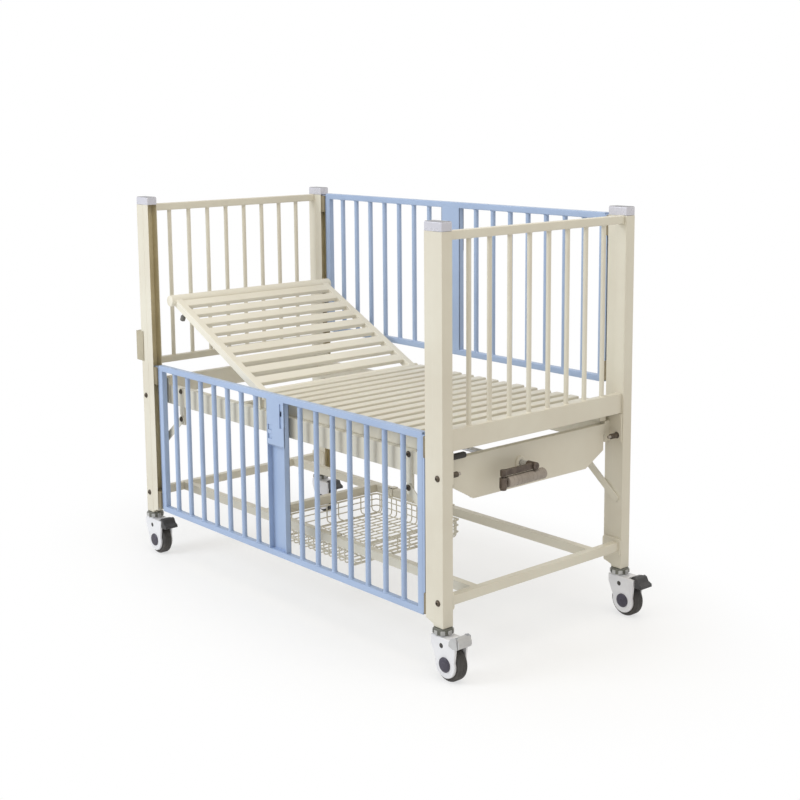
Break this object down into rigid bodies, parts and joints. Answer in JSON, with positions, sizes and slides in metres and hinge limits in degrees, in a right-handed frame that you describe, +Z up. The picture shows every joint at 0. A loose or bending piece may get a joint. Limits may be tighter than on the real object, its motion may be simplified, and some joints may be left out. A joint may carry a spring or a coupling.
{
  "type": "pediatric hospital cot",
  "caption": "Hospital cot on braked casters with barred ends, vertically sliding drop guards, a slatted deck with a crank-raised backrest, and a wire basket under the bed.",
  "frame": {"origin": "on the floor, under the middle of the rectangle between the four posts", "axes": "+X towards the foot end, where the crank is; +Z up; -Y towards the side whose guard is lowered"},
  "size_m": [1.64, 0.794, 1.238],
  "materials": {
    "cream_paint": "semi-gloss cream powder coat",
    "blue_paint": "semi-gloss light blue powder coat",
    "silver_plastic": "silver-grey moulded plastic",
    "nylon": "dark grey-brown nylon",
    "bright_steel": "turned zinc-plated steel",
    "dark_steel": "dark oiled steel",
    "grip_plastic": "grey-brown moulded plastic",
    "white_plastic": "white moulded plastic",
    "hub_plastic": "dark grey moulded plastic",
    "tyre": "dark grey tread",
    "black_plastic": "black moulded plastic",
    "grey_plastic": "light grey moulded plastic"
  },
  "bodies": {
    "cot_frame": {"post_head_near": "cream_paint", "post_head_far": "cream_paint", "post_foot_near": "cream_paint", "post_foot_far": "cream_paint", "post_cap_head_near": "silver_plastic", "post_cap_head_far": "silver_plastic", "post_cap_foot_near": "silver_plastic", "post_cap_foot_far": "silver_plastic", "brace_head_near": "cream_paint", "brace_head_far": "cream_paint", "brace_foot_near": "cream_paint", "brace_foot_far": "cream_paint", "caster_head_head_near": "silver_plastic", "caster_head_head_far": "silver_plastic", "caster_head_foot_near": "silver_plastic", "caster_head_foot_far": "silver_plastic", "head_end_frame": "cream_paint", "foot_end_frame": "cream_paint", "hinge_pin_near": "bright_steel", "hinge_pin_far": "bright_steel", "bed_frame": "cream_paint", "flat_deck": "cream_paint", "foot_apron": "cream_paint", "crank_bush": "cream_paint", "spindle_block": "cream_paint", "lower_frame": "cream_paint", "storage_basket": "cream_paint", "pole_socket": "cream_paint"},
    "near_guard": {"near_guard_frame": "blue_paint", "near_guard_glide_head": "nylon", "near_guard_glide_foot": "nylon"},
    "near_latch": {"near_guard_latch": "blue_paint"},
    "far_guard": {"far_guard_frame": "blue_paint", "far_guard_glide_head": "nylon", "far_guard_glide_foot": "nylon"},
    "far_latch": {"far_guard_latch": "blue_paint"},
    "back_section": {"backrest": "cream_paint"},
    "lift_nut_body": {"lift_nut": "bright_steel"},
    "crank": {"crank_spindle": "bright_steel", "crank_arm": "dark_steel"},
    "grip_arm": {"crank_grip_bar": "dark_steel"},
    "grip_sleeve": {"crank_grip": "grip_plastic"},
    "caster_head_near": {"caster_shell_head_near": "white_plastic", "caster_axle_head_near": "hub_plastic"},
    "wheel_head_near": {"caster_wheel_head_near": "tyre"},
    "pedal_head_near": {"caster_pedal_head_near": "black_plastic"},
    "caster_head_far": {"caster_shell_head_far": "white_plastic", "caster_axle_head_far": "hub_plastic"},
    "wheel_head_far": {"caster_wheel_head_far": "tyre"},
    "pedal_head_far": {"caster_pedal_head_far": "black_plastic"},
    "caster_foot_near": {"caster_shell_foot_near": "white_plastic", "caster_axle_foot_near": "hub_plastic"},
    "wheel_foot_near": {"caster_wheel_foot_near": "tyre"},
    "pedal_foot_near": {"caster_pedal_foot_near": "grey_plastic"},
    "caster_foot_far": {"caster_shell_foot_far": "white_plastic", "caster_axle_foot_far": "hub_plastic"},
    "wheel_foot_far": {"caster_wheel_foot_far": "tyre"},
    "pedal_foot_far": {"caster_pedal_foot_far": "black_plastic"}
  },
  "joints": [
    {"name": "near_guard_slide", "type": "slide", "parent": "cot_frame", "child": "near_guard", "axis": [0, 0, 1], "range_m": [0, 0.548]},
    {"name": "near_latch_lift", "type": "slide", "parent": "near_guard", "child": "near_latch", "axis": [0, 0, 1], "range_m": [0, 0.015]},
    {"name": "far_guard_slide", "type": "slide", "parent": "cot_frame", "child": "far_guard", "axis": [0, 0, 1], "range_m": [-0.548, 0]},
    {"name": "far_latch_lift", "type": "slide", "parent": "far_guard", "child": "far_latch", "axis": [0, 0, 1], "range_m": [0, 0.015]},
    {"name": "backrest_hinge", "type": "hinge", "parent": "cot_frame", "child": "back_section", "pos_m": [-0.15, 0, 0.6425], "axis": [0, 1, 0], "range_deg": [-26.5, 38.5]},
    {"name": "nut_travel", "type": "slide", "parent": "cot_frame", "child": "lift_nut_body", "axis": [1, 0, 0], "range_m": [-0.0775, 0.0535]},
    {"name": "crank_turn", "type": "hinge", "parent": "cot_frame", "child": "crank", "pos_m": [0.7, -0.05, 0.539], "axis": [1, 0, 0], "range_deg": [-1735, 1195]},
    {"name": "grip_fold", "type": "hinge", "parent": "crank", "child": "grip_arm", "pos_m": [0.772, -0.17, 0.511], "axis": [0, 0, 1], "range_deg": [-90, 0]},
    {"name": "grip_spin", "type": "hinge", "parent": "grip_arm", "child": "grip_sleeve", "pos_m": [0.772, -0.09, 0.511], "axis": [0, 1, 0], "continuous": true},
    {"name": "swivel_head_near", "type": "hinge", "parent": "cot_frame", "child": "caster_head_near", "pos_m": [-0.74, -0.366, 0.13], "axis": [0, 0, 1], "continuous": true},
    {"name": "wheel_spin_head_near", "type": "hinge", "parent": "caster_head_near", "child": "wheel_head_near", "pos_m": [-0.708, -0.366, 0.05], "axis": [0, 1, 0], "continuous": true},
    {"name": "pedal_press_head_near", "type": "hinge", "parent": "caster_head_near", "child": "pedal_head_near", "pos_m": [-0.678, -0.366, 0.112], "axis": [0, 1, 0], "range_deg": [0, 12]},
    {"name": "swivel_head_far", "type": "hinge", "parent": "cot_frame", "child": "caster_head_far", "pos_m": [-0.74, 0.366, 0.13], "axis": [0, 0, 1], "continuous": true},
    {"name": "wheel_spin_head_far", "type": "hinge", "parent": "caster_head_far", "child": "wheel_head_far", "pos_m": [-0.708, 0.366, 0.05], "axis": [0, 1, 0], "continuous": true},
    {"name": "pedal_press_head_far", "type": "hinge", "parent": "caster_head_far", "child": "pedal_head_far", "pos_m": [-0.678, 0.366, 0.112], "axis": [0, 1, 0], "range_deg": [0, 12]},
    {"name": "swivel_foot_near", "type": "hinge", "parent": "cot_frame", "child": "caster_foot_near", "pos_m": [0.74, -0.366, 0.13], "axis": [0, 0, 1], "continuous": true},
    {"name": "wheel_spin_foot_near", "type": "hinge", "parent": "caster_foot_near", "child": "wheel_foot_near", "pos_m": [0.772, -0.366, 0.05], "axis": [0, 1, 0], "continuous": true},
    {"name": "pedal_press_foot_near", "type": "hinge", "parent": "caster_foot_near", "child": "pedal_foot_near", "pos_m": [0.802, -0.366, 0.112], "axis": [0, 1, 0], "range_deg": [0, 12]},
    {"name": "swivel_foot_far", "type": "hinge", "parent": "cot_frame", "child": "caster_foot_far", "pos_m": [0.74, 0.366, 0.13], "axis": [0, 0, 1], "continuous": true},
    {"name": "wheel_spin_foot_far", "type": "hinge", "parent": "caster_foot_far", "child": "wheel_foot_far", "pos_m": [0.772, 0.366, 0.05], "axis": [0, 1, 0], "continuous": true},
    {"name": "pedal_press_foot_far", "type": "hinge", "parent": "caster_foot_far", "child": "pedal_foot_far", "pos_m": [0.802, 0.366, 0.112], "axis": [0, 1, 0], "range_deg": [0, 12]}
  ],
  "couplings": [
    {"joint": "nut_travel", "follows": "backrest_hinge", "m_per_rad": -0.1145},
    {"joint": "crank_turn", "follows": "backrest_hinge", "ratio": -44.96}
  ]
}
